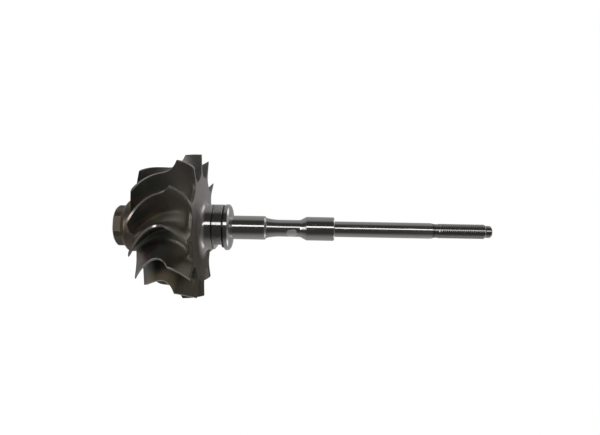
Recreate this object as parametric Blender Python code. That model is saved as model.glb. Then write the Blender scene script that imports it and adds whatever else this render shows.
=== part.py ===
"""Turbine rotor of a turbocharger: a cast turbine wheel welded to a turned steel shaft.

Metres, +Z up.  The rotor stands on the flat end of its nose, with its axis on the Z axis, the
origin at the middle of that end, and the threaded end on top.  The sizes below are millimetres.
"""
from math import asin, atan2, cos, pi, radians, sin, sqrt, tau

import bmesh
import bpy
from mathutils import Matrix

MM = 0.001

# Turbine wheel
WHEEL_RADIUS = 35.0
BLADE_COUNT = 12
EXDUCER_RADIUS = 28.65
NOSE_RADIUS = 9.8
NOSE_CHAMFER = 0.5
NOSE_LENGTH = 3.05
NOSE_FLAT_COUNT = 6
NOSE_ACROSS_FLATS = 18.3
NOSE_FLAT_LENGTH = 3.9
NOSE_FLAT_ANGLE = 6.5
HUB_RADIUS = 12.5
HUB_START = 5.6
DISC_FRONT = 39.0
DISC_BACK = 40.8
RIM_BEVEL = 0.3
DISC_BACK_CENTRE = 41.4
SCALLOP_RADIUS = 24.2
SCALLOP_FILLET = 3.0
SCALLOP_STEPS = 3
TWIST_START = 36.0
BOSS_RADIUS = 11.0
BOSS_FILLET = 1.5
EDGE_CHAMFER = 0.3

# One blade
TRAILING_ROOT_Z = 10.0
TRAILING_TIP_Z = 13.2
LEADING_TIP_Z = 31.6
SHROUD_FLARE_Z = 22.6
CREST_Z = 27.9
CREST_ANGLE = 31.6
BACK_BEND = 0.0715
FRONT_BEND = 0.0763
FRONT_BEND_POWER = 2.2
BLADE_ROOT_THICKNESS = 2.2
BLADE_TIP_THICKNESS = 0.9
BLADE_ROOT_FILLET = 6.0
BLADE_DEPTH_IN_HUB = 1.2
BLADE_BACK_INSET = 0.02
BLADE_STEPS = 14
BLADE_HUB_STEPS = 9
BLADE_RISE_STEPS = 4

# Shaft
WELD_Z = 46.45
SEAL_GROOVE_Z = 51.2
SEAL_GROOVE_WIDTH = 0.9
SEAL_GROOVE_DEPTH = 0.9
FLANGE_RADIUS = 11.15
FLANGE_END = 54.5
FLANGE_CONE_END = 55.8
FLANGE_CONE_RADIUS = 6.3
JOURNAL_RADIUS = 5.75
JOURNAL_CHAMFER = 0.35
JOURNAL_1_START = 56.1
JOURNAL_1_END = 71.0
NECK_START = 71.6
NECK_RADIUS = 5.25
WAIST_RADIUS = 4.1
WAIST_START = 78.4
WAIST_END = 88.2
JOURNAL_2_START = 91.3
SHOULDER_Z = 104.7
STUB_RADIUS = 3.8
STUB_END = 151.6
RELIEF_START = 152.2
RELIEF_RADIUS = 3.35
RELIEF_END = 155.2
THREAD_START = 155.5
THREAD_RADIUS = 3.5
THREAD_END = 177.4
PILOT_START = 178.0
PILOT_RADIUS = 2.95
END_ROUNDING = 0.8
SHAFT_END = 181.0

# Cut milled in the seal boss when the rotor was balanced
BALANCE_CUT_FLOOR = 8.2
BALANCE_CUT_START = 46.6
BALANCE_CUT_FLOOR_START = 47.8
BALANCE_CUT_FLOOR_END = 50.9
BALANCE_CUT_END = 51.5

HUB_SIDES = BLADE_COUNT * 2 * (SCALLOP_STEPS + 1)
HUB_STEPS = 10
SHAFT_SIDES = 48
NECK_STEPS = 6
MERGE_DISTANCE = 0.001


def metal(name, colour, roughness):
    """A bare metal with one colour and roughness."""
    material = bpy.data.materials.new(name)
    material.use_nodes = True
    shader = material.node_tree.nodes["Principled BSDF"]
    shader.inputs["Base Color"].default_value = (*colour, 1.0)
    shader.inputs["Roughness"].default_value = roughness
    shader.inputs["Metallic"].default_value = 1.0
    return material


def add_object(name, bm):
    """Turn a bmesh in millimetres into an object of the scene, in metres."""
    bmesh.ops.scale(bm, vec=(MM, MM, MM), verts=bm.verts)
    bmesh.ops.recalc_face_normals(bm, faces=bm.faces)
    mesh = bpy.data.meshes.new(name)
    bm.to_mesh(mesh)
    bm.free()
    item = bpy.data.objects.new(name, mesh)
    bpy.context.scene.collection.objects.link(item)
    return item


def add_cutter(name, bm):
    """An object that only shapes another one."""
    item = add_object(name, bm)
    item.hide_render = True
    item.display_type = "WIRE"
    return item


def combine(target, operation, tool):
    """Boolean of one object with another, kept as a modifier."""
    modifier = target.modifiers.new(f"{operation.lower()}_{tool.name}", "BOOLEAN")
    modifier.operation = operation
    modifier.solver = "EXACT"
    modifier.object = tool


def finish(item, material):
    """Smooth shading with crisp edges, and the piece's own metal."""
    item.data.materials.append(material)
    item.data.shade_smooth()
    item.data.set_sharp_from_angle(angle=radians(30.0))


def turned(profile, sides):
    """Solid of revolution of a profile of (z, r) points that starts and ends on the axis."""
    bm = bmesh.new()
    points = [bm.verts.new((r, 0.0, z)) for z, r in profile]
    edges = [bm.edges.new(pair) for pair in zip(points, points[1:])]
    bmesh.ops.spin(bm, geom=points + edges, axis=(0.0, 0.0, 1.0), cent=(0.0, 0.0, 0.0),
                   angle=tau, steps=sides, use_merge=True)
    bmesh.ops.remove_doubles(bm, verts=bm.verts, dist=MERGE_DISTANCE)
    return bm


def arc(z_centre, r_centre, radius, start, end, steps):
    """Points of a circular arc in the (z, r) plane, with angles in degrees from +z."""
    angles = [radians(start + (end - start) * i / steps) for i in range(steps + 1)]
    return [(z_centre + radius * cos(a), r_centre + radius * sin(a)) for a in angles]


def hub_radius(z):
    """Radius of the hub between the blades: a quarter ellipse that sweeps out into the disc."""
    reach = min(max((z - HUB_START) / (DISC_FRONT - HUB_START), 0.0), 1.0)
    return HUB_RADIUS + (SCALLOP_RADIUS - HUB_RADIUS) * (1.0 - sqrt(1.0 - reach ** 2))


def shroud_radius(z):
    """Radius of the blades' outer edge: straight at the outlet, then flared out to the rim."""
    reach = min(max((z - SHROUD_FLARE_Z) / (LEADING_TIP_Z - SHROUD_FLARE_Z), 0.0), 1.0)
    return EXDUCER_RADIUS + (WHEEL_RADIUS - EXDUCER_RADIUS) * reach ** 3


def camber_angle(z):
    """Angle round the axis, in degrees, of the first blade's middle surface."""
    if z > CREST_Z:
        return CREST_ANGLE - BACK_BEND * (z - CREST_Z) ** 2
    return CREST_ANGLE - FRONT_BEND * (CREST_Z - z) ** FRONT_BEND_POWER


def camber_slope(z):
    """Turn of the middle surface along the axis, in radians per millimetre."""
    if z > CREST_Z:
        return radians(-2.0 * BACK_BEND * (z - CREST_Z))
    return radians(FRONT_BEND_POWER * FRONT_BEND * (CREST_Z - z) ** (FRONT_BEND_POWER - 1.0))


def around(r, angle, z):
    """Point at an angle in radians, counted from -Y towards -X."""
    return (-r * sin(angle), -r * cos(angle), z)


def root_point(u):
    """Point of the blade's lower edge, from the outlet: sunk in the hub, then out along the back."""
    step = u * BLADE_STEPS
    if step < BLADE_HUB_STEPS + 0.5:
        z = TRAILING_ROOT_Z + (DISC_FRONT - TRAILING_ROOT_Z) * sin(pi / 2 * step / BLADE_HUB_STEPS)
        return z, hub_radius(z) - BLADE_DEPTH_IN_HUB
    reach = (step - BLADE_HUB_STEPS - 1) / (BLADE_STEPS - BLADE_HUB_STEPS - 1)
    return DISC_BACK - BLADE_BACK_INSET, SCALLOP_RADIUS + (WHEEL_RADIUS - SCALLOP_RADIUS) * reach


def tip_point(u):
    """Point of the blade's outer edge, from the outlet to the rim."""
    z = TRAILING_TIP_Z + (LEADING_TIP_Z - TRAILING_TIP_Z) * sin(pi / 2 * u)
    return z, shroud_radius(z)


def blade_thickness(z, r):
    """Thickness of a blade, which thins with its height over the hub."""
    height = min((r - hub_radius(z)) / BLADE_ROOT_FILLET, 1.0)
    return BLADE_ROOT_THICKNESS + (BLADE_TIP_THICKNESS - BLADE_ROOT_THICKNESS) * max(height, 0.0)


def blade():
    """One blade as a closed block: u along the flow, v from hub to tip, w through it."""
    bm = bmesh.new()
    bmesh.ops.create_grid(bm, x_segments=BLADE_STEPS, y_segments=BLADE_RISE_STEPS, size=0.5)
    bmesh.ops.translate(bm, vec=(0.5, 0.5, -0.5), verts=bm.verts)
    wall = bmesh.ops.extrude_face_region(bm, geom=bm.faces[:], use_keep_orig=True)
    far_side = [item for item in wall["geom"] if isinstance(item, bmesh.types.BMVert)]
    bmesh.ops.translate(bm, vec=(0.0, 0.0, 1.0), verts=far_side)
    for vert in bm.verts:
        u, v, w = vert.co
        z_root, r_root = root_point(u)
        z_tip, r_tip = tip_point(u)
        z = z_root + (z_tip - z_root) * v
        r = r_root + (r_tip - r_root) * v
        stretch = sqrt(1.0 + (camber_slope(z) * r) ** 2)
        vert.co = around(r, radians(camber_angle(z)) + w * blade_thickness(z, r) * stretch / r, z)
    return bm


def ring_of(shape, count):
    """Copy a bmesh round the axis."""
    mesh = bpy.data.meshes.new("copy")
    shape.to_mesh(mesh)
    shape.free()
    bm = bmesh.new()
    for index in range(count):
        mesh.transform(Matrix.Rotation(tau / count * (index > 0), 4, "Z"))
        bm.from_mesh(mesh)
    bpy.data.meshes.remove(mesh)
    return bm


def nose_flats():
    """Blocks outside the nose's flats, which end in the flare behind them."""
    bm = bmesh.new()
    width = 8.0
    depth = 2.0
    overrun = 1.0
    length = NOSE_FLAT_LENGTH + overrun
    place = Matrix.Translation((0.0, -(NOSE_ACROSS_FLATS + depth) / 2, length / 2 - overrun))
    turn = Matrix.Rotation(radians(-NOSE_FLAT_ANGLE), 4, "Z")
    size = Matrix.Diagonal((width, depth, length, 1.0))
    bmesh.ops.create_cube(bm, size=1.0, matrix=turn @ place @ size)
    return ring_of(bm, NOSE_FLAT_COUNT)


def scallop_outline():
    """Angle from a blade, and radius, of the rim's points from one blade to the next.

    Each scallop has a floor at one radius and a round corner beside each blade.
    """
    half_pitch = pi / BLADE_COUNT
    corner_radius = SCALLOP_RADIUS + SCALLOP_FILLET
    corner_angle = half_pitch - asin(SCALLOP_FILLET / corner_radius)
    corner_x = corner_radius * sin(corner_angle)
    corner_y = corner_radius * cos(corner_angle)
    side = [(0.0, SCALLOP_RADIUS)]
    floor_turn = pi / 2 + corner_angle
    for step in range(SCALLOP_STEPS + 1):
        turn = floor_turn + (half_pitch - floor_turn) * step / SCALLOP_STEPS
        x = corner_x + SCALLOP_FILLET * cos(turn)
        y = corner_y - SCALLOP_FILLET * sin(turn)
        side.append((atan2(x, y), sqrt(x * x + y * y)))
    mirrored = [(-angle, radius) for angle, radius in reversed(side[1:-1])]
    return [(angle + half_pitch, radius) for angle, radius in mirrored + side]


def scallop(bm):
    """Pull the disc's rim in between the blades, turned along the axis as the blades are."""
    outline = scallop_outline()
    for vert in bm.verts:
        radius = vert.co.xy.length
        if radius < MERGE_DISTANCE:
            continue
        place = round(atan2(-vert.co.x, -vert.co.y) / tau * HUB_SIDES)
        angle, rim = outline[place % len(outline)]
        angle += place // len(outline) * tau / BLADE_COUNT
        angle += radians(camber_angle(max(vert.co.z, TWIST_START)))
        on_rim = radius > (SCALLOP_RADIUS + WHEEL_RADIUS) / 2
        vert.co = around(rim if on_rim else radius, angle, vert.co.z)


def wheel_profile():
    """Turned outline of the wheel without its blades, from the nose to the weld."""
    hub = []
    for i in range(HUB_STEPS + 1):
        z = HUB_START + (DISC_FRONT - HUB_START) * sin(pi / 2 * i / HUB_STEPS)
        hub.append((z, hub_radius(z)))
    fillet = arc(DISC_BACK_CENTRE + BOSS_FILLET, BOSS_RADIUS + BOSS_FILLET, BOSS_FILLET, 180.0, 270.0, 4)
    return [
        (0.0, 0.0),
        (0.0, NOSE_RADIUS - NOSE_CHAMFER),
        (NOSE_CHAMFER, NOSE_RADIUS),
        (NOSE_LENGTH, NOSE_RADIUS),
        *hub,
        (DISC_FRONT + RIM_BEVEL, WHEEL_RADIUS),
        (DISC_BACK, WHEEL_RADIUS),
        (DISC_BACK, SCALLOP_RADIUS - RIM_BEVEL),
        *fillet,
        (WELD_Z - EDGE_CHAMFER, BOSS_RADIUS),
        (WELD_Z, BOSS_RADIUS - EDGE_CHAMFER),
        (WELD_Z, 0.0),
    ]


def shaft_profile():
    """Turned outline of the shaft, from the weld to the pilot end."""
    groove_floor = BOSS_RADIUS - SEAL_GROOVE_DEPTH
    groove_end = SEAL_GROOVE_Z + SEAL_GROOVE_WIDTH
    neck = []
    for i in range(NECK_STEPS + 1):
        share = i / NECK_STEPS
        z = NECK_START + (WAIST_START - NECK_START) * share
        neck.append((z, WAIST_RADIUS + (NECK_RADIUS - WAIST_RADIUS) * (1.0 - share) ** 2))
    end_round = arc(SHAFT_END - END_ROUNDING, PILOT_RADIUS - END_ROUNDING, END_ROUNDING, 90.0, 0.0, 3)
    return [
        (WELD_Z, 0.0),
        (WELD_Z, BOSS_RADIUS - EDGE_CHAMFER),
        (WELD_Z + EDGE_CHAMFER, BOSS_RADIUS),
        (SEAL_GROOVE_Z, BOSS_RADIUS),
        (SEAL_GROOVE_Z, groove_floor),
        (groove_end, groove_floor),
        (groove_end, FLANGE_RADIUS),
        (FLANGE_END, FLANGE_RADIUS),
        (FLANGE_CONE_END, FLANGE_CONE_RADIUS),
        (JOURNAL_1_START, JOURNAL_RADIUS),
        (JOURNAL_1_END, JOURNAL_RADIUS),
        *neck,
        (WAIST_END, WAIST_RADIUS),
        (JOURNAL_2_START - JOURNAL_CHAMFER, JOURNAL_RADIUS - JOURNAL_CHAMFER),
        (JOURNAL_2_START, JOURNAL_RADIUS),
        (SHOULDER_Z - JOURNAL_CHAMFER, JOURNAL_RADIUS),
        (SHOULDER_Z, JOURNAL_RADIUS - JOURNAL_CHAMFER),
        (SHOULDER_Z, STUB_RADIUS),
        (STUB_END, STUB_RADIUS),
        (RELIEF_START, RELIEF_RADIUS),
        (RELIEF_END, RELIEF_RADIUS),
        (THREAD_START, THREAD_RADIUS),
        (THREAD_END, THREAD_RADIUS),
        (PILOT_START, PILOT_RADIUS),
        *end_round,
        (SHAFT_END, 0.0),
    ]


def balance_cut():
    """Block with sloping ends that cuts a flat across one side of the seal boss."""
    bm = bmesh.new()
    half_width = 9.0
    outside = FLANGE_RADIUS + 1.0
    slope = (BALANCE_CUT_FLOOR_START - BALANCE_CUT_START) / (BOSS_RADIUS - BALANCE_CUT_FLOOR)
    steep = (BALANCE_CUT_END - BALANCE_CUT_FLOOR_END) / (BOSS_RADIUS - BALANCE_CUT_FLOOR)
    section = [
        (BALANCE_CUT_FLOOR, BALANCE_CUT_FLOOR_START),
        (BALANCE_CUT_FLOOR, BALANCE_CUT_FLOOR_END),
        (outside, BALANCE_CUT_END + steep * (outside - BOSS_RADIUS)),
        (outside, BALANCE_CUT_START - slope * (outside - BOSS_RADIUS)),
    ]
    face = bm.faces.new([bm.verts.new((x, -half_width, z)) for x, z in section])
    wall = bmesh.ops.extrude_face_region(bm, geom=[face], use_keep_orig=True)
    far_side = [item for item in wall["geom"] if isinstance(item, bmesh.types.BMVert)]
    bmesh.ops.translate(bm, vec=(0.0, 2.0 * half_width, 0.0), verts=far_side)
    return bm


def make_wheel():
    """The casting: turned body with a scalloped rim, blades added and the flats milled."""
    body = turned(wheel_profile(), HUB_SIDES)
    scallop(body)
    wheel = add_object("turbine_wheel", body)
    combine(wheel, "UNION", add_cutter("blade_blocks", ring_of(blade(), BLADE_COUNT)))
    combine(wheel, "DIFFERENCE", add_cutter("nose_flat_cutters", nose_flats()))
    finish(wheel, metal("cast_nickel_alloy", (0.10, 0.09, 0.075), 0.42))


def make_shaft():
    """The turned bar with its balance cut."""
    shaft = add_object("shaft", turned(shaft_profile(), SHAFT_SIDES))
    combine(shaft, "DIFFERENCE", add_cutter("balance_cutter", balance_cut()))
    finish(shaft, metal("ground_steel", (0.56, 0.56, 0.55), 0.25))


def build():
    """Empty the scene and make both pieces."""
    for item in list(bpy.data.objects):
        bpy.data.objects.remove(item)
    make_wheel()
    make_shaft()


build()
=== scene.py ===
"""A turbocharger's turbine rotor: a cast turbine wheel, friction welded to a turned steel shaft.

The rotor stands on the end of its nose, with its axis on Z.  Its sizes are in millimetres, and
each piece is brought to metres once it is shaped.  The table, the lights and the camera are
placed in metres.
"""
from math import asin, atan2, cos, pi, radians, sin, sqrt, tan, tau

import bmesh
import bpy
from mathutils import Matrix, Vector


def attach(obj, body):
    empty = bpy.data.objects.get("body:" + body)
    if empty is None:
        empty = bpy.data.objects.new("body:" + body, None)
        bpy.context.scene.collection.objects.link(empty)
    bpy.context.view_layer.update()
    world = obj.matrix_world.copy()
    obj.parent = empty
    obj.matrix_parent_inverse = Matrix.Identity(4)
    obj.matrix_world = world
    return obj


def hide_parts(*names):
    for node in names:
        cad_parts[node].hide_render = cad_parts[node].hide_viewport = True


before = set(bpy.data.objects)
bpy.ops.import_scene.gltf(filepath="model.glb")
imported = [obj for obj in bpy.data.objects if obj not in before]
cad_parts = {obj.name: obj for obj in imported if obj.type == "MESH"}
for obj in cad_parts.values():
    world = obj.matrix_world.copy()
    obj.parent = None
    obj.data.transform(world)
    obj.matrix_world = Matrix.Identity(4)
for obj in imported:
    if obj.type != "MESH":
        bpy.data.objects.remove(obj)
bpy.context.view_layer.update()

# The turbine wheel.  One investment casting in nickel alloy: a hub that sweeps out into a thin
# disc, scalloped between twelve blades that lean round it, and behind it the boss that is welded
# to the shaft.  The outer edges of the blades, the nose and the boss are machined.
MM = 0.001
WHEEL_RADIUS = 35.0
BLADES = 12
PITCH = tau / BLADES
NOSE_RADIUS = 9.8
NOSE_CHAMFER = 0.5
FLARE_START = 3.3
HUB_START = 6.4
HUB_ORIGIN = 5.6
HUB_RADIUS = 12.5
DISC_FRONT = 39.0
DISC_BACK = 40.8
DISC_RADIUS = 24.2
RIM_ROUNDING = 0.3
RIM_START = DISC_FRONT + RIM_ROUNDING
BACK_BEVEL = 0.12
RIM_END = DISC_BACK - BACK_BEVEL
BACK_CENTRE = 41.4
BOSS_RADIUS = 11.0
BOSS_FILLET = 3.0
WELD_Z = 46.45
WELD_CHAMFER = 0.3

# The blades and the fillets at their feet.
EXDUCER_RADIUS = 28.65
TRAILING_ROOT_Z = 10.0
TRAILING_TIP_Z = 13.2
LEADING_TIP_Z = 31.6
LEADING_HUB_Z = 35.6
LEADING_RIM_Z = 38.6
SHROUD_FLARE_Z = 22.6
CREST_Z = 27.9
CREST_ANGLE = 31.6
BACK_BEND = 0.0715
FRONT_BEND = 0.0763
FRONT_BEND_POWER = 2.2
ROOT_THICKNESS = 2.2
TIP_THICKNESS = 1.05
THICK_HEIGHT = 6.0
FRONT_FILLET = 1.0
RIM_FILLET = 3.0
FILLET_SHARE = 0.45
TIP_CHAMFER = 0.1

# The blank that the wheel is shaped from: columns round it, rows along it and levels up a blade.
STRIP = 3
FLOOR = 10
COLUMNS = 2 * STRIP + FLOOR
FLARE_ROWS = 7
LEAD_IN_HEIGHTS = (6.8, 7.9)
HUB_ROWS = 30
CORNER_ROW = 19
RIM_TURN_ROWS = 5
RIM_ROWS = 3
BACK_ROWS = 9
BOSS_FILLET_ROWS = 7
FILLET_LEVELS = 5
WALL_LEVELS = 10
COLUMNS_BEND_Z = 7.0
MERGE_DISTANCE = 0.0001


def camber_angle(z):
    """Angle round the axis of the first blade's middle surface, in radians."""
    if z > CREST_Z:
        return radians(CREST_ANGLE - BACK_BEND * (z - CREST_Z) ** 2)
    return radians(CREST_ANGLE - FRONT_BEND * (CREST_Z - z) ** FRONT_BEND_POWER)


def lean(z, r):
    """How much wider a blade is round the axis than through it, where it leans along the axis."""
    if z > CREST_Z:
        slope = radians(-2.0 * BACK_BEND * (z - CREST_Z))
    else:
        slope = radians(FRONT_BEND_POWER * FRONT_BEND * (CREST_Z - z) ** (FRONT_BEND_POWER - 1.0))
    return sqrt(1.0 + (slope * r) ** 2)


def hub_turn(z):
    """How far along its quarter ellipse the hub has come at a height, from 0 to 1."""
    return asin(min(max((z - HUB_ORIGIN) / (DISC_FRONT - HUB_ORIGIN), 0.0), 1.0)) / (pi / 2)


def hub_point(turn):
    """Height and radius of the hub, and the direction straight out of it."""
    length = DISC_FRONT - HUB_ORIGIN
    rise = DISC_RADIUS - HUB_RADIUS
    along = pi / 2 * turn
    out = Vector((-rise * sin(along), length * cos(along))).normalized()
    return Vector((HUB_ORIGIN + length * sin(along), HUB_RADIUS + rise * (1.0 - cos(along)))), out


def shroud_radius(z):
    """Radius of the blades' outer edge, flared out to the rim."""
    reach = min(max((z - SHROUD_FLARE_Z) / (LEADING_TIP_Z - SHROUD_FLARE_Z), 0.0), 1.0)
    return EXDUCER_RADIUS + (WHEEL_RADIUS - EXDUCER_RADIUS) * reach ** 3


def half_width(z, r):
    """Half the thickness of a blade, which thins with its height over the hub."""
    height = (r - hub_point(hub_turn(z))[0].y) / THICK_HEIGHT
    return 0.5 * (ROOT_THICKNESS + (TIP_THICKNESS - ROOT_THICKNESS) * min(max(height, 0.0), 1.0))


# The outline of the wheel, from the nose to the weld: the blades stand on its middle part.
FIRST_TURN = hub_turn(TRAILING_ROOT_Z)
nose_line = [(0.0, NOSE_RADIUS - NOSE_CHAMFER), (NOSE_CHAMFER, NOSE_RADIUS)]
for step in range(FLARE_ROWS + 1):
    share = step / FLARE_ROWS
    nose_line.append((FLARE_START + (HUB_START - FLARE_START) * share,
                      NOSE_RADIUS + (HUB_RADIUS - NOSE_RADIUS) * (0.5 - 0.5 * cos(pi * share))))
for height in LEAD_IN_HEIGHTS:
    nose_line.append((height, hub_point(hub_turn(height))[0].y))
blade_line = []
for step in range(HUB_ROWS + 1):
    blade_line.append(hub_point(FIRST_TURN + (1.0 - FIRST_TURN) * step / HUB_ROWS))
for step in range(1, RIM_TURN_ROWS + 1):
    turn = pi / 2 * step / RIM_TURN_ROWS
    out = Vector((-cos(turn), sin(turn)))
    middle = Vector((RIM_START, DISC_RADIUS - RIM_ROUNDING))
    blade_line.append((middle + RIM_ROUNDING * out, out))
for step in range(1, RIM_ROWS + 1):
    height = RIM_START + (RIM_END - RIM_START) * step / RIM_ROWS
    blade_line.append((Vector((height, DISC_RADIUS)), Vector((0.0, 1.0))))
blade_line.append((Vector((DISC_BACK, DISC_RADIUS - BACK_BEVEL)), Vector((0.0, 1.0))))
back_line = []
for step in range(1, BACK_ROWS + 1):
    share = step / BACK_ROWS
    back_line.append((DISC_BACK + (BACK_CENTRE - DISC_BACK) * share,
                      DISC_RADIUS + (BOSS_RADIUS + BOSS_FILLET - DISC_RADIUS) * share))
for step in range(1, BOSS_FILLET_ROWS + 1):
    turn = pi / 2 * step / BOSS_FILLET_ROWS
    back_line.append((BACK_CENTRE + BOSS_FILLET * (1.0 - cos(turn)),
                      BOSS_RADIUS + BOSS_FILLET * (1.0 - sin(turn))))
back_line += [(WELD_Z - WELD_CHAMFER, BOSS_RADIUS), (WELD_Z, BOSS_RADIUS - WELD_CHAMFER)]
FIRST_ROW = len(nose_line)
LAST_ROW = FIRST_ROW + len(blade_line) - 1
ROWS = LAST_ROW + len(back_line)
LEVELS = FILLET_LEVELS + WALL_LEVELS + 1


def tip_point(row):
    """Point of a blade's outer edge: up the shroud line, then down the leading edge to the back."""
    if row <= CORNER_ROW:
        z = TRAILING_TIP_Z + (LEADING_TIP_Z - TRAILING_TIP_Z) * row / CORNER_ROW
    elif row <= HUB_ROWS:
        share = (row - CORNER_ROW) / (HUB_ROWS - CORNER_ROW)
        z = LEADING_TIP_Z + (LEADING_HUB_Z - LEADING_TIP_Z) * share
    elif row <= HUB_ROWS + RIM_TURN_ROWS:
        z = LEADING_HUB_Z + (LEADING_RIM_Z - LEADING_HUB_Z) * (row - HUB_ROWS) / RIM_TURN_ROWS
    else:
        share = (row - HUB_ROWS - RIM_TURN_ROWS) / RIM_ROWS
        z = min(LEADING_RIM_Z + (RIM_END - LEADING_RIM_Z) * share, DISC_BACK)
    return Vector((z, shroud_radius(z)))


def fillet_size(row):
    """Radius of the fillet at a blade's foot, from the outlet to the rim."""
    return FRONT_FILLET + (RIM_FILLET - FRONT_FILLET) * min(row / HUB_ROWS, 1.0) ** 2


def foot_angles(point, fillet):
    """Half the blade's angle at its foot, and the angle that its fillet covers beside it."""
    z, r = point
    half = half_width(z, r) * lean(z, r) / r
    return half, min(fillet * lean(z, r) / r, FILLET_SHARE * (PITCH - 2.0 * half))


def on_blade(row, level, across):
    """Height, radius and angle of a point of the blade; across runs from -1 to 1 through it."""
    foot, out = blade_line[row]
    fillet = fillet_size(row)
    turn = pi / 2 * min(level / FILLET_LEVELS, 1.0)
    beside = 1.0 - sin(turn)
    if row == 0:
        front = foot.x - fillet * beside
        round_off = (half_width(*foot) + fillet * beside) * (1.0 - sqrt(1.0 - across ** 2))
        foot, out = hub_point(hub_turn(front + round_off))
    if level <= FILLET_LEVELS:
        point = foot + out * fillet * (1.0 - cos(turn))
        half, reach = foot_angles(point, fillet)
        return point.x, point.y, across * (half + reach * beside)
    start = foot + out * fillet
    end = tip_point(row)
    if row == 0:
        end.x += half_width(*end) * (1.0 - sqrt(1.0 - across ** 2))
    inset = 0.0
    if level == LEVELS:
        inset = TIP_CHAMFER
        point = end
    else:
        share = (level - FILLET_LEVELS) / WALL_LEVELS
        point = start + (end - start) * (share - share * TIP_CHAMFER / (end - start).length)
    if row == LAST_ROW - FIRST_ROW:
        inset = max(inset, BACK_BEVEL)
    z, r = point
    return z, r, across * (half_width(z, r) - inset) * lean(z, r) / r


def on_body(row, column):
    """Height, radius and angle from the blade's middle of a point of the hub or the disc."""
    even = PITCH * column / COLUMNS
    if row < FIRST_ROW:
        line = nose_line[row]
        share = row / FIRST_ROW
        beside = blade_line[0][0]
    elif row > LAST_ROW:
        line = back_line[row - LAST_ROW - 1]
        share = max(1.0 - (row - LAST_ROW) / BACK_ROWS, 0.0)
        beside = blade_line[-1][0]
    else:
        line = beside = blade_line[row - FIRST_ROW][0]
        if row == FIRST_ROW:
            line, _ = hub_point(hub_turn(line.x + half_width(*line)))
        share = 1.0
    size = fillet_size(min(max(row - FIRST_ROW, 0), LAST_ROW - FIRST_ROW))
    half, reach = foot_angles(beside, size)
    edge = half + reach
    if column <= STRIP:
        angle = edge * sin(pi / 2 * column / STRIP)
    elif column >= COLUMNS - STRIP:
        angle = PITCH - edge * sin(pi / 2 * (COLUMNS - column) / STRIP)
    else:
        angle = edge + (PITCH - 2.0 * edge) * (column - STRIP) / FLOOR
    return line[0], line[1], even + (angle - even) * share


def shape_wheel(bm):
    """Bring a blank, whose points count rows, columns and levels, to the shape of the wheel."""
    for vert in bm.verts:
        row = round(vert.co.z)
        level = round(vert.co.xy.length) - 1
        place = round(atan2(vert.co.y, vert.co.x) / tau * COLUMNS * BLADES)
        blade, column = divmod(place, COLUMNS)
        beyond = column > COLUMNS / 2
        in_strip = min(column, COLUMNS - column) <= STRIP
        if FIRST_ROW <= row <= LAST_ROW and in_strip:
            across = sin(pi / 2 * (column - COLUMNS * beyond) / STRIP)
            z, r, angle = on_blade(row - FIRST_ROW, level, across)
            angle += PITCH * beyond
        else:
            z, r, angle = on_body(row, column)
        angle += PITCH * blade + camber_angle(min(max(z, COLUMNS_BEND_Z), DISC_BACK))
        vert.co = (-r * sin(angle), -r * cos(angle), z)


def in_foot(face):
    """Whether a face of the blank lies under a blade."""
    middle = face.calc_center_median()
    place = atan2(middle.y, middle.x) / tau * COLUMNS * BLADES
    off = abs((place + COLUMNS / 2) % COLUMNS - COLUMNS / 2)
    return FIRST_ROW < middle.z < LAST_ROW and off < STRIP


def finished_object(name, bm):
    """An object from a bmesh in millimetres, with its faces pointing out."""
    bmesh.ops.scale(bm, vec=(MM, MM, MM), verts=bm.verts)
    bmesh.ops.recalc_face_normals(bm, faces=bm.faces)
    mesh = bpy.data.meshes.new(name)
    bm.to_mesh(mesh)
    bm.free()
    item = bpy.data.objects.new(name, mesh)
    bpy.context.scene.collection.objects.link(item)
    return item


def cut_away(target, tool):
    """Cut one object out of another for good."""
    modifier = target.modifiers.new("cut", "BOOLEAN")
    modifier.operation = "DIFFERENCE"
    modifier.solver = "EXACT"
    modifier.object = tool
    graph = bpy.context.evaluated_depsgraph_get()
    mesh = bpy.data.meshes.new_from_object(target.evaluated_get(graph))
    target.modifiers.clear()
    target.data = mesh
    bpy.data.objects.remove(tool)


def shade(item, sharp, limit_z=0.0, low_sharp=0.0):
    """Smooth shading, crisp where faces meet at more than an angle, which may differ below a height."""
    bm = bmesh.new()
    bm.from_mesh(item.data)
    for face in bm.faces:
        face.smooth = True
    for edge in bm.edges:
        low = edge.verts[0].co.z < limit_z * MM
        edge.smooth = edge.calc_face_angle(0.0) < radians(low_sharp if low else sharp)
    bm.to_mesh(item.data)
    bm.free()


# The blank starts as a tube, and a strip is raised along each blade, level by level.
blank = bmesh.new()
chain = [blank.verts.new((1.0, 0.0, row)) for row in range(ROWS + 1)]
links = [blank.edges.new(pair) for pair in zip(chain, chain[1:])]
bmesh.ops.spin(blank, geom=chain + links, axis=(0, 0, 1), cent=(0, 0, 0), angle=tau,
               steps=COLUMNS * BLADES, use_merge=True)
bmesh.ops.remove_doubles(blank, verts=blank.verts, dist=MERGE_DISTANCE)
foot = [face for face in blank.faces if in_foot(face)]
for level in range(1, LEVELS + 1):
    raised = bmesh.ops.extrude_face_region(blank, geom=foot)["geom"]
    bmesh.ops.delete(blank, geom=foot, context="FACES")
    foot = [item for item in raised if isinstance(item, bmesh.types.BMFace)]
    edge = [item for item in raised if isinstance(item, bmesh.types.BMVert)]
    bmesh.ops.scale(blank, vec=((level + 1) / level, (level + 1) / level, 1.0), verts=edge)
shape_wheel(blank)
ends = [edge for edge in blank.edges if edge.is_boundary]
bmesh.ops.holes_fill(blank, edges=ends)
wheel = finished_object("cast_turbine_wheel", blank)

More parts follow.
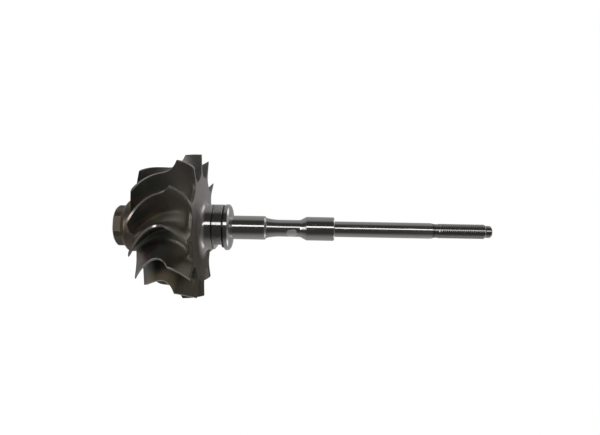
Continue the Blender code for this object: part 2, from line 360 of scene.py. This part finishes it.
# The flats on the nose, for the tool that holds the wheel.
FLATS = 6
FLATS_ACROSS = 18.3
FLAT_LENGTH = 3.9
FLAT_WIDTH = 8.6
FLAT_ANGLE = 6.5
CUTTER_DEPTH = 3.0
OVERRUN = 1.0
CREASE = 35.0
NOSE_CREASE = 14.0
NOSE_CREASE_END = 4.2
cutter = bmesh.new()
for index in range(FLATS):
    turn = Matrix.Rotation(radians(-FLAT_ANGLE) + tau / FLATS * index, 4, "Z")
    place = Matrix.Translation((0.0, -(FLATS_ACROSS + CUTTER_DEPTH) / 2, (FLAT_LENGTH - OVERRUN) / 2))
    size = Matrix.Diagonal((FLAT_WIDTH, CUTTER_DEPTH, FLAT_LENGTH + OVERRUN, 1.0))
    bmesh.ops.create_cube(cutter, size=1.0, matrix=turn @ place @ size)
cut_away(wheel, finished_object("flat_cutter", cutter))
shade(wheel, CREASE, NOSE_CREASE_END, NOSE_CREASE)
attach(wheel, "root")
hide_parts("turbine_wheel")


class Wire:
    """A value, colour or vector on its way through a finish, so that the finish reads as a sum."""

    def __init__(self, tree, socket=None):
        self.tree = tree
        self.socket = socket

    def node(self, kind, settings=None, inputs=None, output=0):
        """Any node, from its type, its settings and the values or wires of its inputs."""
        made = self.tree.nodes.new(kind)
        for name, value in (settings or {}).items():
            setattr(made, name, value)
        for name, value in (inputs or {}).items():
            if isinstance(value, Wire):
                self.tree.links.new(value.socket, made.inputs[name])
            else:
                made.inputs[name].default_value = value
        return Wire(self.tree, made.outputs[output])

    def math(self, operation, first, second):
        """An operation on two values."""
        return self.node("ShaderNodeMath", {"operation": operation}, {0: first, 1: second})

    def __add__(self, other):
        return self.math("ADD", self, other)

    def __radd__(self, other):
        return self.math("ADD", other, self)

    def __sub__(self, other):
        return self.math("SUBTRACT", self, other)

    def __rsub__(self, other):
        return self.math("SUBTRACT", other, self)

    def __mul__(self, other):
        return self.math("MULTIPLY", self, other)

    def __rmul__(self, other):
        return self.math("MULTIPLY", other, self)

    def __truediv__(self, other):
        return self.math("DIVIDE", self, other)

    def __pow__(self, other):
        return self.math("POWER", self, other)

    def rise(self, low, high):
        """From 0 to 1, smoothly, as the value goes from low to high."""
        return self.node("ShaderNodeMapRange", {"interpolation_type": "SMOOTHSTEP"},
                         {"Value": self, "From Min": low, "From Max": high})

    def fall(self, low, high):
        """From 1 to 0, smoothly, as the value goes from low to high."""
        return 1.0 - self.rise(low, high)

    def between(self, low, high, soft):
        """1 from low to high, fading over a soft length at both ends."""
        return self.rise(low - soft, low + soft) * self.fall(high - soft, high + soft)

    def colour(self, first, second):
        """The first colour where the value is 0 and the second where it is 1."""
        return self.node("ShaderNodeMix", {"data_type": "RGBA"}, {0: self, 6: first, 7: second}, 2)

    def noise(self, scale, detail=2.0):
        """Soft noise over a vector, from 0 to 1."""
        return self.node("ShaderNodeTexNoise", {}, {"Vector": self, "Scale": scale, "Detail": detail})

    def stretched(self, x, y, z):
        """A vector with its parts multiplied."""
        return self.node("ShaderNodeVectorMath", {"operation": "MULTIPLY"}, {0: self, 1: (x, y, z)})


def start_finish(name):
    """A new finish: its material, the point on the piece, and its height, x, y and radius in mm."""
    material = bpy.data.materials.new(name)
    material.use_nodes = True
    point = Wire(material.node_tree).node("ShaderNodeTexCoord", output="Object")
    point = point.stretched(1.0 / MM, 1.0 / MM, 1.0 / MM)
    parts = point.node("ShaderNodeSeparateXYZ", {}, {0: point})
    x = Wire(point.tree, parts.socket.node.outputs["X"])
    y = Wire(point.tree, parts.socket.node.outputs["Y"])
    z = Wire(point.tree, parts.socket.node.outputs["Z"])
    return material, point, z, x, y, (x * x + y * y) ** 0.5


def end_finish(material, values):
    """Put the finish's values and wires on the metal's own sockets."""
    shader = material.node_tree.nodes["Principled BSDF"]
    for name, value in values.items():
        if isinstance(value, Wire):
            material.node_tree.links.new(value.socket, shader.inputs[name])
        else:
            shader.inputs[name].default_value = value


def relief(height, depth):
    """Bumps of a depth in millimetres, from a height between 0 and 1."""
    return height.node("ShaderNodeBump", {}, {"Height": height, "Distance": depth * MM}, "Normal")


CAST_GREEN = (0.140, 0.165, 0.137, 1.0)
CAST_MAUVE = (0.258, 0.202, 0.187, 1.0)
CAST_PALE = (0.330, 0.302, 0.250, 1.0)
NOSE_BROWN = (0.186, 0.156, 0.112, 1.0)
DISC_GREY = (0.300, 0.282, 0.275, 1.0)
# Dark brown for the weld seam and the flats, and for painted shade.
SOOT_AND_SHADE = (0.104, 0.089, 0.068, 1.0)
# Grey for painted shade.
TOP_SHADE_GREY = (0.110, 0.112, 0.115, 1.0)
# A warm light tone for painted light on the lowest blades and a painted highlight on the hub.
WARM_PAINTED_LIGHT = (0.420, 0.345, 0.225, 1.0)
EDGE_BROWN = (0.470, 0.445, 0.405, 1.0)
MACHINED = (0.500, 0.485, 0.460, 1.0)

# The limits between which each tone comes or goes.  A band ends with how softly it fades.
MOTTLE_SPLIT = (0.42, 0.56)
PALE_Z = (14.0, 44.0)
PALE_WANDER = 14.0
EDGE_DEPTH = (-0.12, -0.05)
BOSS_CUT_Z = (BACK_CENTRE + 0.1, BACK_CENTRE + 2.0)
SEAM_Z = (WELD_Z - 0.5, WELD_Z - 0.2)
NOSE_CUT_Z = (5.0, 10.5)
NOSE_CUT_RADIUS = (10.5, 15.0)
FLAT_END_Z = (FLAT_LENGTH - 0.1, FLAT_LENGTH)
FLAT_EDGE_RADIUS = (NOSE_RADIUS - 0.12, NOSE_RADIUS - 0.06)
BACK_Z = (DISC_BACK - 0.5, DISC_BACK - 0.1)
# Painted shade: the disc's back is darker on its +x side, the lower side in the camera's view, but not
# close round the boss.
DISC_SHADE_X = (-9.0, 4.0)
DISC_SHADE_WANDER = 8.0
DISC_SHADE_RADIUS = (12.0, 17.0)
# Painted shade: the blades are darker on their +x side near the disc, and in a band across the middle by
# the rim.
LOW_SHADE_X = (7.0, 16.0)
LOW_SHADE_Z = (25.0, 31.0)
RIM_SHADE_X = (-9.0, 3.0, 3.0)
RIM_SHADE_Z = (35.5, 37.5)
# Painted shade: the -x side of the wheel, the top in the camera's view, is greyed darker.
TOP_SHADE_X = (-28.0, -15.0)
# Painted light: the +x blades, lowest in the camera's view, are lighter and warmer between these heights.
LOW_LIGHT_X = (19.0, 23.0)
LOW_LIGHT_START_Z = (14.0, 18.0)
LOW_LIGHT_END_Z = (30.0, 33.0)
# Painted highlight: a warm light patch on the hub near the outlet, on its -x side.
HUB_HIGHLIGHT_X = (-4.0, -1.0)
HUB_HIGHLIGHT_Z = (20.0, 26.0)
HUB_HIGHLIGHT_RADIUS = (15.0, 18.0)

# How many waves of each pattern lie on a millimetre.
GRAIN = 3.6
MOTTLE = 0.12
PATCHES = 0.07
WAVES = 0.24
RINGS = 9.0

CAST_ROUGHNESS = 0.42
DISC_SHADE_ROUGHNESS = 0.52
CAST_METALLIC = 0.72
CAST_RELIEF = 0.012
material, point, z, x, _, radius = start_finish("cast_alloy_skin")
flare = (z - SHROUD_FLARE_Z) / (LEADING_TIP_Z - SHROUD_FLARE_Z)
reach = flare.node("ShaderNodeClamp", {}, {0: flare})
shroud = EXDUCER_RADIUS + (WHEEL_RADIUS - EXDUCER_RADIUS) * reach ** 3.0
edge_cut = (radius - shroud).rise(*EDGE_DEPTH)
boss_cut = z.rise(*BOSS_CUT_Z)
seam = z.rise(*SEAM_Z)
nose_cut = 1.0 - z.rise(*NOSE_CUT_Z) * radius.rise(*NOSE_CUT_RADIUS)
flats = z.fall(*FLAT_END_Z) * radius.fall(*FLAT_EDGE_RADIUS)
back = z.rise(*BACK_Z)
disc_back = back * (1.0 - boss_cut)

grain = point.noise(GRAIN)
mottle = point.noise(MOTTLE, 3.0)
patches = point.noise(PATCHES)
waves = point.noise(WAVES)
rings = point.node("ShaderNodeCombineXYZ", {}, {"X": z * RINGS, "Y": radius * RINGS}).noise(1.0, 1.0)
# This mask is painted shade on the disc's back, on its +x side.
disc_low_shade = (x + DISC_SHADE_WANDER * mottle).rise(*DISC_SHADE_X) * radius.rise(*DISC_SHADE_RADIUS)
# This mask is painted shade: the +x side of the blades near the disc, and a band by the rim.
low_and_rim_shade = 0.9 * x.rise(*LOW_SHADE_X) * z.rise(*LOW_SHADE_Z) + 0.35 * x.between(*RIM_SHADE_X) * z.rise(*RIM_SHADE_Z)
# Painted light on the lowest blades, and a painted highlight on the hub.
low_blade_light = x.rise(*LOW_LIGHT_X) * z.rise(*LOW_LIGHT_START_Z) * z.fall(*LOW_LIGHT_END_Z)
hub_highlight = x.fall(*HUB_HIGHLIGHT_X) * z.fall(*HUB_HIGHLIGHT_Z) * radius.fall(*HUB_HIGHLIGHT_RADIUS)

skin = mottle.rise(*MOTTLE_SPLIT).colour(CAST_GREEN, CAST_MAUVE)
skin = (z + PALE_WANDER * (patches - 0.5)).rise(*PALE_Z).colour(skin, CAST_PALE)
# Painted shade on the +x side of the blades and by the rim.
skin = low_and_rim_shade.colour(skin, SOOT_AND_SHADE)
# Painted light and a painted highlight, in a warm tone.
skin = (0.65 * low_blade_light + 0.8 * hub_highlight).colour(skin, WARM_PAINTED_LIGHT)
# Painted shade greys the -x side.
skin = (0.55 * x.fall(*TOP_SHADE_X)).colour(skin, TOP_SHADE_GREY)
skin = nose_cut.colour(skin, NOSE_BROWN)
skin = (0.75 * flats).colour(skin, SOOT_AND_SHADE)
# The disc's back in its own grey, with painted shade on its +x side.
skin = back.colour(skin, disc_low_shade.colour(DISC_GREY, SOOT_AND_SHADE))
skin = edge_cut.colour(skin, EDGE_BROWN)
skin = boss_cut.colour(skin, MACHINED)
skin = (0.8 * seam).colour(skin, SOOT_AND_SHADE)
# The shaded part of the disc's back is also made rougher and less metallic.
rough = CAST_ROUGHNESS + 0.06 * mottle + disc_back * (DISC_SHADE_ROUGHNESS * disc_low_shade - 0.06)
rough = rough - 0.10 * nose_cut - 0.25 * edge_cut - 0.24 * boss_cut
metal = CAST_METALLIC + (1.0 - CAST_METALLIC) * boss_cut - 0.4 * disc_back * disc_low_shade
bumps = grain * (1.0 - edge_cut) * (1.0 - 0.8 * back) + 0.10 * rings * (edge_cut + back)
bumps = bumps + 12.0 * waves * disc_back * (1.0 - disc_low_shade)
end_finish(material, {"Base Color": skin, "Roughness": rough, "Metallic": metal,
                      "Normal": relief(bumps, CAST_RELIEF)})
wheel.data.materials.append(material)

# The shaft.  One bar of alloy steel, turned, then ground on its journals and on the stub for the
# compressor wheel.  Behind the weld it has a groove for the seal ring and a flat milled away to
# balance the rotor, and at its end a rolled thread for the nut.
SHAFT_SIDES = 96
GROOVE_Z = 51.2
GROOVE_END = 52.1
GROOVE_RADIUS = 10.1
FLANGE_RADIUS = 11.15
FLANGE_END = 54.5
FLANGE_CORNER = ((-0.7, 0.0), (0.0, -0.85), (0.4, -1.85))
FLANGE_CONE_END = 55.4
FLANGE_CONE_RADIUS = 6.3
JOURNAL_RADIUS = 5.75
JOURNAL_1 = (55.7, 71.0)
NECK = (71.9, 78.4)
NECK_RADIUS = 4.9
NECK_STEPS = 16
WAIST_RADIUS = 4.1
WAIST_END = 88.2
WAIST_ROUNDING = 0.6
JOURNAL_2 = (91.3, 104.7)
JOURNAL_CHAMFER = 0.35
STUB_RADIUS = 3.8
STUB_END = 151.6
RELIEF = (153.3, 155.2)
RELIEF_RADIUS = 3.35
THREAD = (155.5, 177.4)
THREAD_RADIUS = 3.5
THREAD_PITCH = 1.0
THREAD_DEPTH = 0.18
THREAD_CREST = 0.6
THREAD_FLANK = 0.3
THREAD_LAST_DEPTH = 0.4
ROWS_PER_TURN = 10
PILOT_START = 178.0
PILOT_RADIUS = 2.95
END_ROUNDING = 0.8
SHAFT_END = 181.0
CENTRE_HOLE_RADIUS = 1.0
CENTRE_HOLE_ANGLE = 60.0
CENTRE_DRILL_RADIUS = 0.4
CENTRE_DRILL_LENGTH = 0.4
CENTRE_DRILL_POINT = 0.2
EASED = 0.1
ROUNDING_STEPS = 6

# The outline of the bar, from the weld to the threaded end, as heights and radii.
line = [(WELD_Z, 0.0), (WELD_Z, BOSS_RADIUS - WELD_CHAMFER), (WELD_Z + WELD_CHAMFER, BOSS_RADIUS),
        (GROOVE_Z - EASED, BOSS_RADIUS), (GROOVE_Z, BOSS_RADIUS - EASED),
        (GROOVE_Z, GROOVE_RADIUS + EASED), (GROOVE_Z + EASED, GROOVE_RADIUS),
        (GROOVE_END - EASED, GROOVE_RADIUS), (GROOVE_END, GROOVE_RADIUS + EASED),
        (GROOVE_END, FLANGE_RADIUS - EASED), (GROOVE_END + EASED, FLANGE_RADIUS),
        *((FLANGE_END + along, FLANGE_RADIUS + out) for along, out in FLANGE_CORNER),
        (FLANGE_CONE_END, FLANGE_CONE_RADIUS), (JOURNAL_1[0], JOURNAL_RADIUS),
        (JOURNAL_1[1], JOURNAL_RADIUS)]
for step in range(NECK_STEPS + 1):
    share = step / NECK_STEPS
    line.append((NECK[0] + (NECK[1] - NECK[0]) * share,
                 WAIST_RADIUS + (NECK_RADIUS - WAIST_RADIUS) * (1.0 - share) ** 2))
slope = (JOURNAL_RADIUS - WAIST_RADIUS) / (JOURNAL_2[0] - WAIST_END)
for step in range(ROUNDING_STEPS + 1):
    along = 2.0 * WAIST_ROUNDING * step / ROUNDING_STEPS
    line.append((WAIST_END - WAIST_ROUNDING + along,
                 WAIST_RADIUS + slope * along ** 2 / (4.0 * WAIST_ROUNDING)))
line += [(JOURNAL_2[0], JOURNAL_RADIUS), (JOURNAL_2[1] - JOURNAL_CHAMFER, JOURNAL_RADIUS),
         (JOURNAL_2[1], JOURNAL_RADIUS - JOURNAL_CHAMFER), (JOURNAL_2[1], STUB_RADIUS + 2.0 * EASED),
         (JOURNAL_2[1] + EASED, STUB_RADIUS + EASED / 2), (JOURNAL_2[1] + 3.0 * EASED, STUB_RADIUS),
         (STUB_END, STUB_RADIUS), (RELIEF[0], RELIEF_RADIUS), (RELIEF[1], RELIEF_RADIUS)]
thread_rows = round((THREAD[1] - THREAD[0]) / THREAD_PITCH * ROWS_PER_TURN)
for step in range(thread_rows + 1):
    line.append((THREAD[0] + (THREAD[1] - THREAD[0]) * step / thread_rows, THREAD_RADIUS))
line.append((PILOT_START, PILOT_RADIUS))
for step in range(ROUNDING_STEPS + 1):
    turn = pi / 2 * step / ROUNDING_STEPS
    line.append((SHAFT_END - END_ROUNDING * (1.0 - sin(turn)),
                 PILOT_RADIUS - END_ROUNDING * (1.0 - cos(turn))))
drill_start = SHAFT_END - (CENTRE_HOLE_RADIUS - CENTRE_DRILL_RADIUS) / tan(radians(CENTRE_HOLE_ANGLE / 2))
drill_end = drill_start - CENTRE_DRILL_LENGTH
line += [(SHAFT_END, CENTRE_HOLE_RADIUS), (drill_start, CENTRE_DRILL_RADIUS),
         (drill_end, CENTRE_DRILL_RADIUS), (drill_end - CENTRE_DRILL_POINT, 0.0)]

bar = bmesh.new()
chain = [bar.verts.new((r, 0.0, z)) for z, r in line]
links = [bar.edges.new(pair) for pair in zip(chain, chain[1:])]
bmesh.ops.spin(bar, geom=chain + links, axis=(0, 0, 1), cent=(0, 0, 0), angle=tau, steps=SHAFT_SIDES,
               use_merge=True)
bmesh.ops.remove_doubles(bar, verts=bar.verts, dist=MERGE_DISTANCE)
for vert in bar.verts:
    z = vert.co.z
    if THREAD[0] <= z <= THREAD[1] and vert.co.xy.length > PILOT_RADIUS + EASED:
        turn = z / THREAD_PITCH - atan2(vert.co.y, vert.co.x) / tau
        valley = 1.0 - abs(2.0 * (turn % 1.0) - 1.0)
        deep = min(max((valley - THREAD_CREST) / THREAD_FLANK, 0.0), 1.0)
        run_in = (z - THREAD[0]) / THREAD_PITCH
        run_out = (THREAD[1] - z) / THREAD_PITCH + THREAD_LAST_DEPTH
        depth = THREAD_DEPTH * deep * min(run_in, run_out, 1.0)
        vert.co.xy = vert.co.xy.normalized() * (THREAD_RADIUS - depth)
shaft = finished_object("turned_shaft", bar)

# The cut that balances the rotor: flat, with a slope at each end.
CUT_FLOOR = 8.2
CUT_START = 46.6
CUT_FLOOR_START = 47.8
CUT_FLOOR_END = 50.9
CUT_END = 51.5
CUT_HALF_WIDTH = 9.0
CUT_OVERRUN = 1.2
SHAFT_CREASE = 24.0
cutter = bmesh.new()
beyond = BOSS_RADIUS + CUT_OVERRUN
slope = (CUT_FLOOR_START - CUT_START) / (BOSS_RADIUS - CUT_FLOOR)
steep = (CUT_END - CUT_FLOOR_END) / (BOSS_RADIUS - CUT_FLOOR)
section = [(CUT_FLOOR, CUT_FLOOR_START), (CUT_FLOOR, CUT_FLOOR_END),
           (beyond, CUT_END + steep * CUT_OVERRUN), (beyond, CUT_START - slope * CUT_OVERRUN)]
face = cutter.faces.new([cutter.verts.new((x, -CUT_HALF_WIDTH, z)) for x, z in section])
wall = bmesh.ops.extrude_face_region(cutter, geom=[face], use_keep_orig=True)["geom"]
far_side = [item for item in wall if isinstance(item, bmesh.types.BMVert)]
bmesh.ops.translate(cutter, vec=(0.0, 2.0 * CUT_HALF_WIDTH, 0.0), verts=far_side)
cut_away(shaft, finished_object("balance_cutter", cutter))
shade(shaft, SHAFT_CREASE)
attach(shaft, "root")
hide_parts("shaft")

STEEL = (0.56, 0.55, 0.535, 1.0)
WELD_TINT = (0.39, 0.355, 0.36, 1.0)
# Dark for the weld seam, and for painted shade in the groove, in the thread's roots and on the shoulders.
SEAM_DARK_AND_SHADE = (0.060, 0.055, 0.050, 1.0)
SMUDGE = (0.95, 0.94, 0.92, 1.0)
THREAD_GREY = (0.400, 0.390, 0.370, 1.0)

# The limits between which each tone comes or goes.  A band ends with how softly it fades, and
# the smudge has its middle and its reach.
WELD_SEAM_Z = (WELD_Z + 0.2, WELD_Z + 0.5)
HEAT_Z = (WELD_Z + 0.5, WELD_Z + 9.0)
BLOTCH_SPLIT = (0.40, 0.58)
GROOVE_BAND = (GROOVE_Z - EASED, GROOVE_END, 0.03)
GROOVE_EDGE_RADIUS = (10.92, 11.0)
FLANGE_FACE_BAND = (FLANGE_END, JOURNAL_1[0] + 0.1, 0.1)
JOURNAL_END_BAND = (JOURNAL_1[1], NECK[0] + 0.4, 0.2)
WAIST_BAND = (JOURNAL_1[1], JOURNAL_2[0], 0.3)
MARKS_Z = (FLANGE_END, JOURNAL_1[0])
MARKS_SPLIT = (0.66, 0.72)
SMUDGE_X = (2.2, 1.9)
SMUDGE_Z = (84.3, 2.9)
SMUDGE_RAGGED = 1.4
SMUDGE_EDGE = (-0.1, 0.35)
SMUDGE_SIDE_Y = (-0.4, 0.0)
TAPER_BAND = (STUB_END + 0.4, RELIEF[0], 0.4)
THREAD_BAND = (*THREAD, 0.05)
THREAD_ROOT_RADIUS = (3.15, 3.45)

# How many waves of each pattern lie on a millimetre, across the axis and along it.
SCRATCHES = (0.35, 0.35, 16.0)
MARKS = (1.6, 1.6, 0.16)
FEED = 5.0
CLOUD = 0.35
BLOTCH = 0.9

STEEL_ROUGHNESS = 0.07
SMUDGE_ROUGHNESS = 0.38
STEEL_RELIEF = 0.0005
material, point, z, x, y, radius = start_finish("ground_steel_skin")
rolled = z.rise(STUB_END, RELIEF[0])
turned = z.between(*WAIST_BAND) + rolled
faced = z.between(*FLANGE_FACE_BAND) + z.between(*JOURNAL_END_BAND)
groove = z.between(*GROOVE_BAND) * radius.fall(*GROOVE_EDGE_RADIUS)
root = z.between(*THREAD_BAND) * radius.fall(*THREAD_ROOT_RADIUS)
taper = z.between(*TAPER_BAND)
seam = z.fall(*WELD_SEAM_Z)
heat = z.fall(*HEAT_Z)

scratches = point.stretched(*SCRATCHES).noise(1.0)
feed = point.node("ShaderNodeCombineXYZ", {}, {"X": z * FEED, "Y": radius * FEED}).noise(1.0, 1.0)
cloud = point.noise(CLOUD, 3.0)
blotch = point.noise(BLOTCH).rise(*BLOTCH_SPLIT)
marks = point.stretched(*MARKS).noise(1.0, 1.0).rise(*MARKS_SPLIT) * z.rise(*MARKS_Z)
off_x = (x - SMUDGE_X[0]) / SMUDGE_X[1]
off_z = (z - SMUDGE_Z[0]) / SMUDGE_Z[1]
ragged = SMUDGE_RAGGED * (point.noise(BLOTCH, 3.0) - 0.5)
smudge = (1.0 - off_x * off_x - off_z * off_z + ragged).rise(*SMUDGE_EDGE) * y.fall(*SMUDGE_SIDE_Y)

skin = (heat * (0.25 + 0.75 * blotch)).colour(STEEL, WELD_TINT)
skin = rolled.colour(skin, THREAD_GREY)
# Painted shade: the thread's roots, the groove, the shoulder faces and the taper before the relief are
# darkened; the seam is the weld's own dark line.
skin = (0.25 * root + 0.9 * groove + 0.8 * seam + 0.3 * faced + 0.5 * taper).colour(skin, SEAM_DARK_AND_SHADE)
skin = (0.9 * smudge).colour(skin, SMUDGE)
rough = STEEL_ROUGHNESS + 0.04 * turned + 0.05 * cloud + SMUDGE_ROUGHNESS * smudge
rough = rough + 0.2 * (groove + marks + faced)
bumps = 0.3 * scratches + 0.6 * feed * turned
end_finish(material, {"Base Color": skin, "Roughness": rough, "Metallic": 1.0,
                      "Normal": relief(bumps, STEEL_RELIEF)})
shaft.data.materials.append(material)

# The photographer's table.  A round sheet of matt white card lies under the nose.  It is lit so
# evenly that it looks as white as the background.
FLOOR_RADIUS = 0.16
FLOOR_SIDES = 96
CARD = (0.35, 0.35, 0.35, 1.0)
CARD_WHITE = (0.96, 0.96, 0.96, 1.0)
BLACK = (0.0, 0.0, 0.0, 1.0)
floor = bmesh.new()
bmesh.ops.create_circle(floor, cap_ends=True, segments=FLOOR_SIDES, radius=FLOOR_RADIUS)
floor_mesh = bpy.data.meshes.new("floor")
floor.to_mesh(floor_mesh)
floor.free()
table = bpy.data.objects.new("floor", floor_mesh)
bpy.context.scene.collection.objects.link(table)
card = bpy.data.materials.new("pale_floor")
card.use_nodes = True
seen = Wire(card.node_tree).node("ShaderNodeLightPath", output="Is Camera Ray")
end_finish(card, {"Base Color": CARD, "Roughness": 0.9, "Specular IOR Level": 0.0,
                  "Emission Color": seen.colour(BLACK, CARD_WHITE), "Emission Strength": 1.0})
table.data.materials.append(card)
table.visible_glossy = False
table.visible_shadow = False

# Light from the room.  It is dark on the camera's side, with pale walls beside the rotor and behind
# it, a faint ceiling, a small lamp low under the camera and two small lamps high behind the rotor.
# Places are given in degrees: turned round from the camera, and up.
DARK = 0.05
PALE = 0.30
BEHIND = 0.12
CEILING = 0.10
LOW_LAMP_STRENGTH = 3.2
HIGH_LAMP_STRENGTH = 1.2
SIDE_WALL = (-130.0, 0.0)
SIDE_WALL_EDGE = (0.0, 0.77)
BACK_WALL = (156.0, 0.0)
BACK_WALL_EDGE = (0.0, 0.44)
CEILING_EDGE = (0.35, 0.8)
LOW_LAMP = (0.0, -43.0)
LOW_LAMP_EDGE = (0.968, 0.992)
HIGH_LAMPS = ((127.0, 40.0), (-122.0, 40.0))
HIGH_LAMP_EDGE = (0.935, 0.988)
world = bpy.data.worlds.new("studio")
world.use_nodes = True
bpy.context.scene.world = world
start = Wire(world.node_tree)
ray = start.node("ShaderNodeTexCoord", output="Generated")


def towards(azimuth, height):
    """How far a ray goes towards a place: 1 straight at it, 0 across and -1 straight away."""
    turn = radians(azimuth)
    rise = radians(height)
    way = (-sin(turn) * cos(rise), -cos(turn) * cos(rise), sin(rise))
    return ray.node("ShaderNodeVectorMath", {"operation": "DOT_PRODUCT"}, {0: ray, 1: way}, "Value")


behind = towards(180.0, 0.0)
side_wall = towards(*SIDE_WALL).rise(*SIDE_WALL_EDGE)
back_wall = towards(*BACK_WALL).rise(*BACK_WALL_EDGE)
walls = side_wall.math("MAXIMUM", side_wall, back_wall)
room = DARK + (PALE - DARK + BEHIND * behind) * walls
room = room + CEILING * towards(0.0, 90.0).rise(*CEILING_EDGE)
room = room + LOW_LAMP_STRENGTH * towards(*LOW_LAMP).rise(*LOW_LAMP_EDGE)
for place in HIGH_LAMPS:
    room = room + HIGH_LAMP_STRENGTH * towards(*place).rise(*HIGH_LAMP_EDGE)
camera_sees = start.node("ShaderNodeLightPath", output="Is Camera Ray")
strength = camera_sees + (1.0 - camera_sees) * room
background = world.node_tree.nodes["Background"]
background.inputs["Color"].default_value = (1.0, 1.0, 1.0, 1.0)
world.node_tree.links.new(strength.socket, background.inputs["Strength"])

# The soft box.  It stands beside the camera, upright and longer than the rotor, and draws the
# bright streak along the shaft.
BOX_ANGLE = radians(18.5)
BOX_DISTANCE = 0.6
BOX_WIDTH = 0.13
BOX_LENGTH = 2.4
BOX_MIDDLE = 0.25
BOX_POWER = 2.0 * pi
box = bpy.data.lights.new("soft_box", "AREA")
box.shape = "RECTANGLE"
box.size = BOX_WIDTH
box.size_y = BOX_LENGTH
box.energy = BOX_POWER * BOX_WIDTH * BOX_LENGTH
soft_box = bpy.data.objects.new("soft_box", box)
away = Vector((-sin(BOX_ANGLE), -cos(BOX_ANGLE), 0.0))
across = Vector((0.0, 0.0, 1.0)).cross(away)
middle = away * BOX_DISTANCE + Vector((0.0, 0.0, BOX_MIDDLE))
soft_box.matrix_world = Matrix(((across.x, 0.0, away.x, middle.x), (across.y, 0.0, away.y, middle.y),
                                (across.z, 1.0, away.z, middle.z), (0.0, 0.0, 0.0, 1.0)))
bpy.context.scene.collection.objects.link(soft_box)
bpy.context.scene.view_settings.view_transform = "Standard"

# The camera, at the photograph's place: level with the middle of the shaft and turned on its side.
# Lengths in the picture are in its pixels, and the wheel's radius gives them their real size.
PHOTO_WIDTH = 600
FOCAL_PIXELS = 503.43
WHEEL_PIXELS = 71.76
AIM_ALONG_PIXELS = 180.75
AIM_BESIDE_PIXELS = 11.03
YAW = radians(-0.23)
ROLL = radians(1.04)
SENSOR_WIDTH = 36.0
PIXEL = WHEEL_RADIUS * MM / WHEEL_PIXELS
axis = Vector((cos(YAW) * cos(ROLL), sin(ROLL), sin(YAW) * cos(ROLL)))
facing = Vector((0.0, -1.0, 0.0))
facing = (facing - axis * facing.dot(axis)).normalized()
side = axis.cross(facing)


def to_world(vector):
    """A direction in the photograph, right, down and away, as one round the rotor."""
    return Vector((-vector.dot(facing), -vector.dot(side), vector.dot(axis)))


right = to_world(Vector((1.0, 0.0, 0.0)))
top = to_world(Vector((0.0, -1.0, 0.0)))
back = to_world(Vector((0.0, 0.0, -1.0)))
aim = Vector((0.0, 0.0, AIM_ALONG_PIXELS * PIXEL))
place = aim - to_world(Vector((0.0, AIM_BESIDE_PIXELS, FOCAL_PIXELS)) * PIXEL)
camera_data = bpy.data.cameras.new("camera")
camera_data.sensor_width = SENSOR_WIDTH
camera_data.lens = FOCAL_PIXELS * SENSOR_WIDTH / PHOTO_WIDTH
camera_data.clip_start = 0.01
camera = bpy.data.objects.new("camera", camera_data)
camera.matrix_world = Matrix(((right.x, top.x, back.x, place.x), (right.y, top.y, back.y, place.y),
                              (right.z, top.z, back.z, place.z), (0.0, 0.0, 0.0, 1.0)))
bpy.context.scene.collection.objects.link(camera)
bpy.context.scene.camera = camera
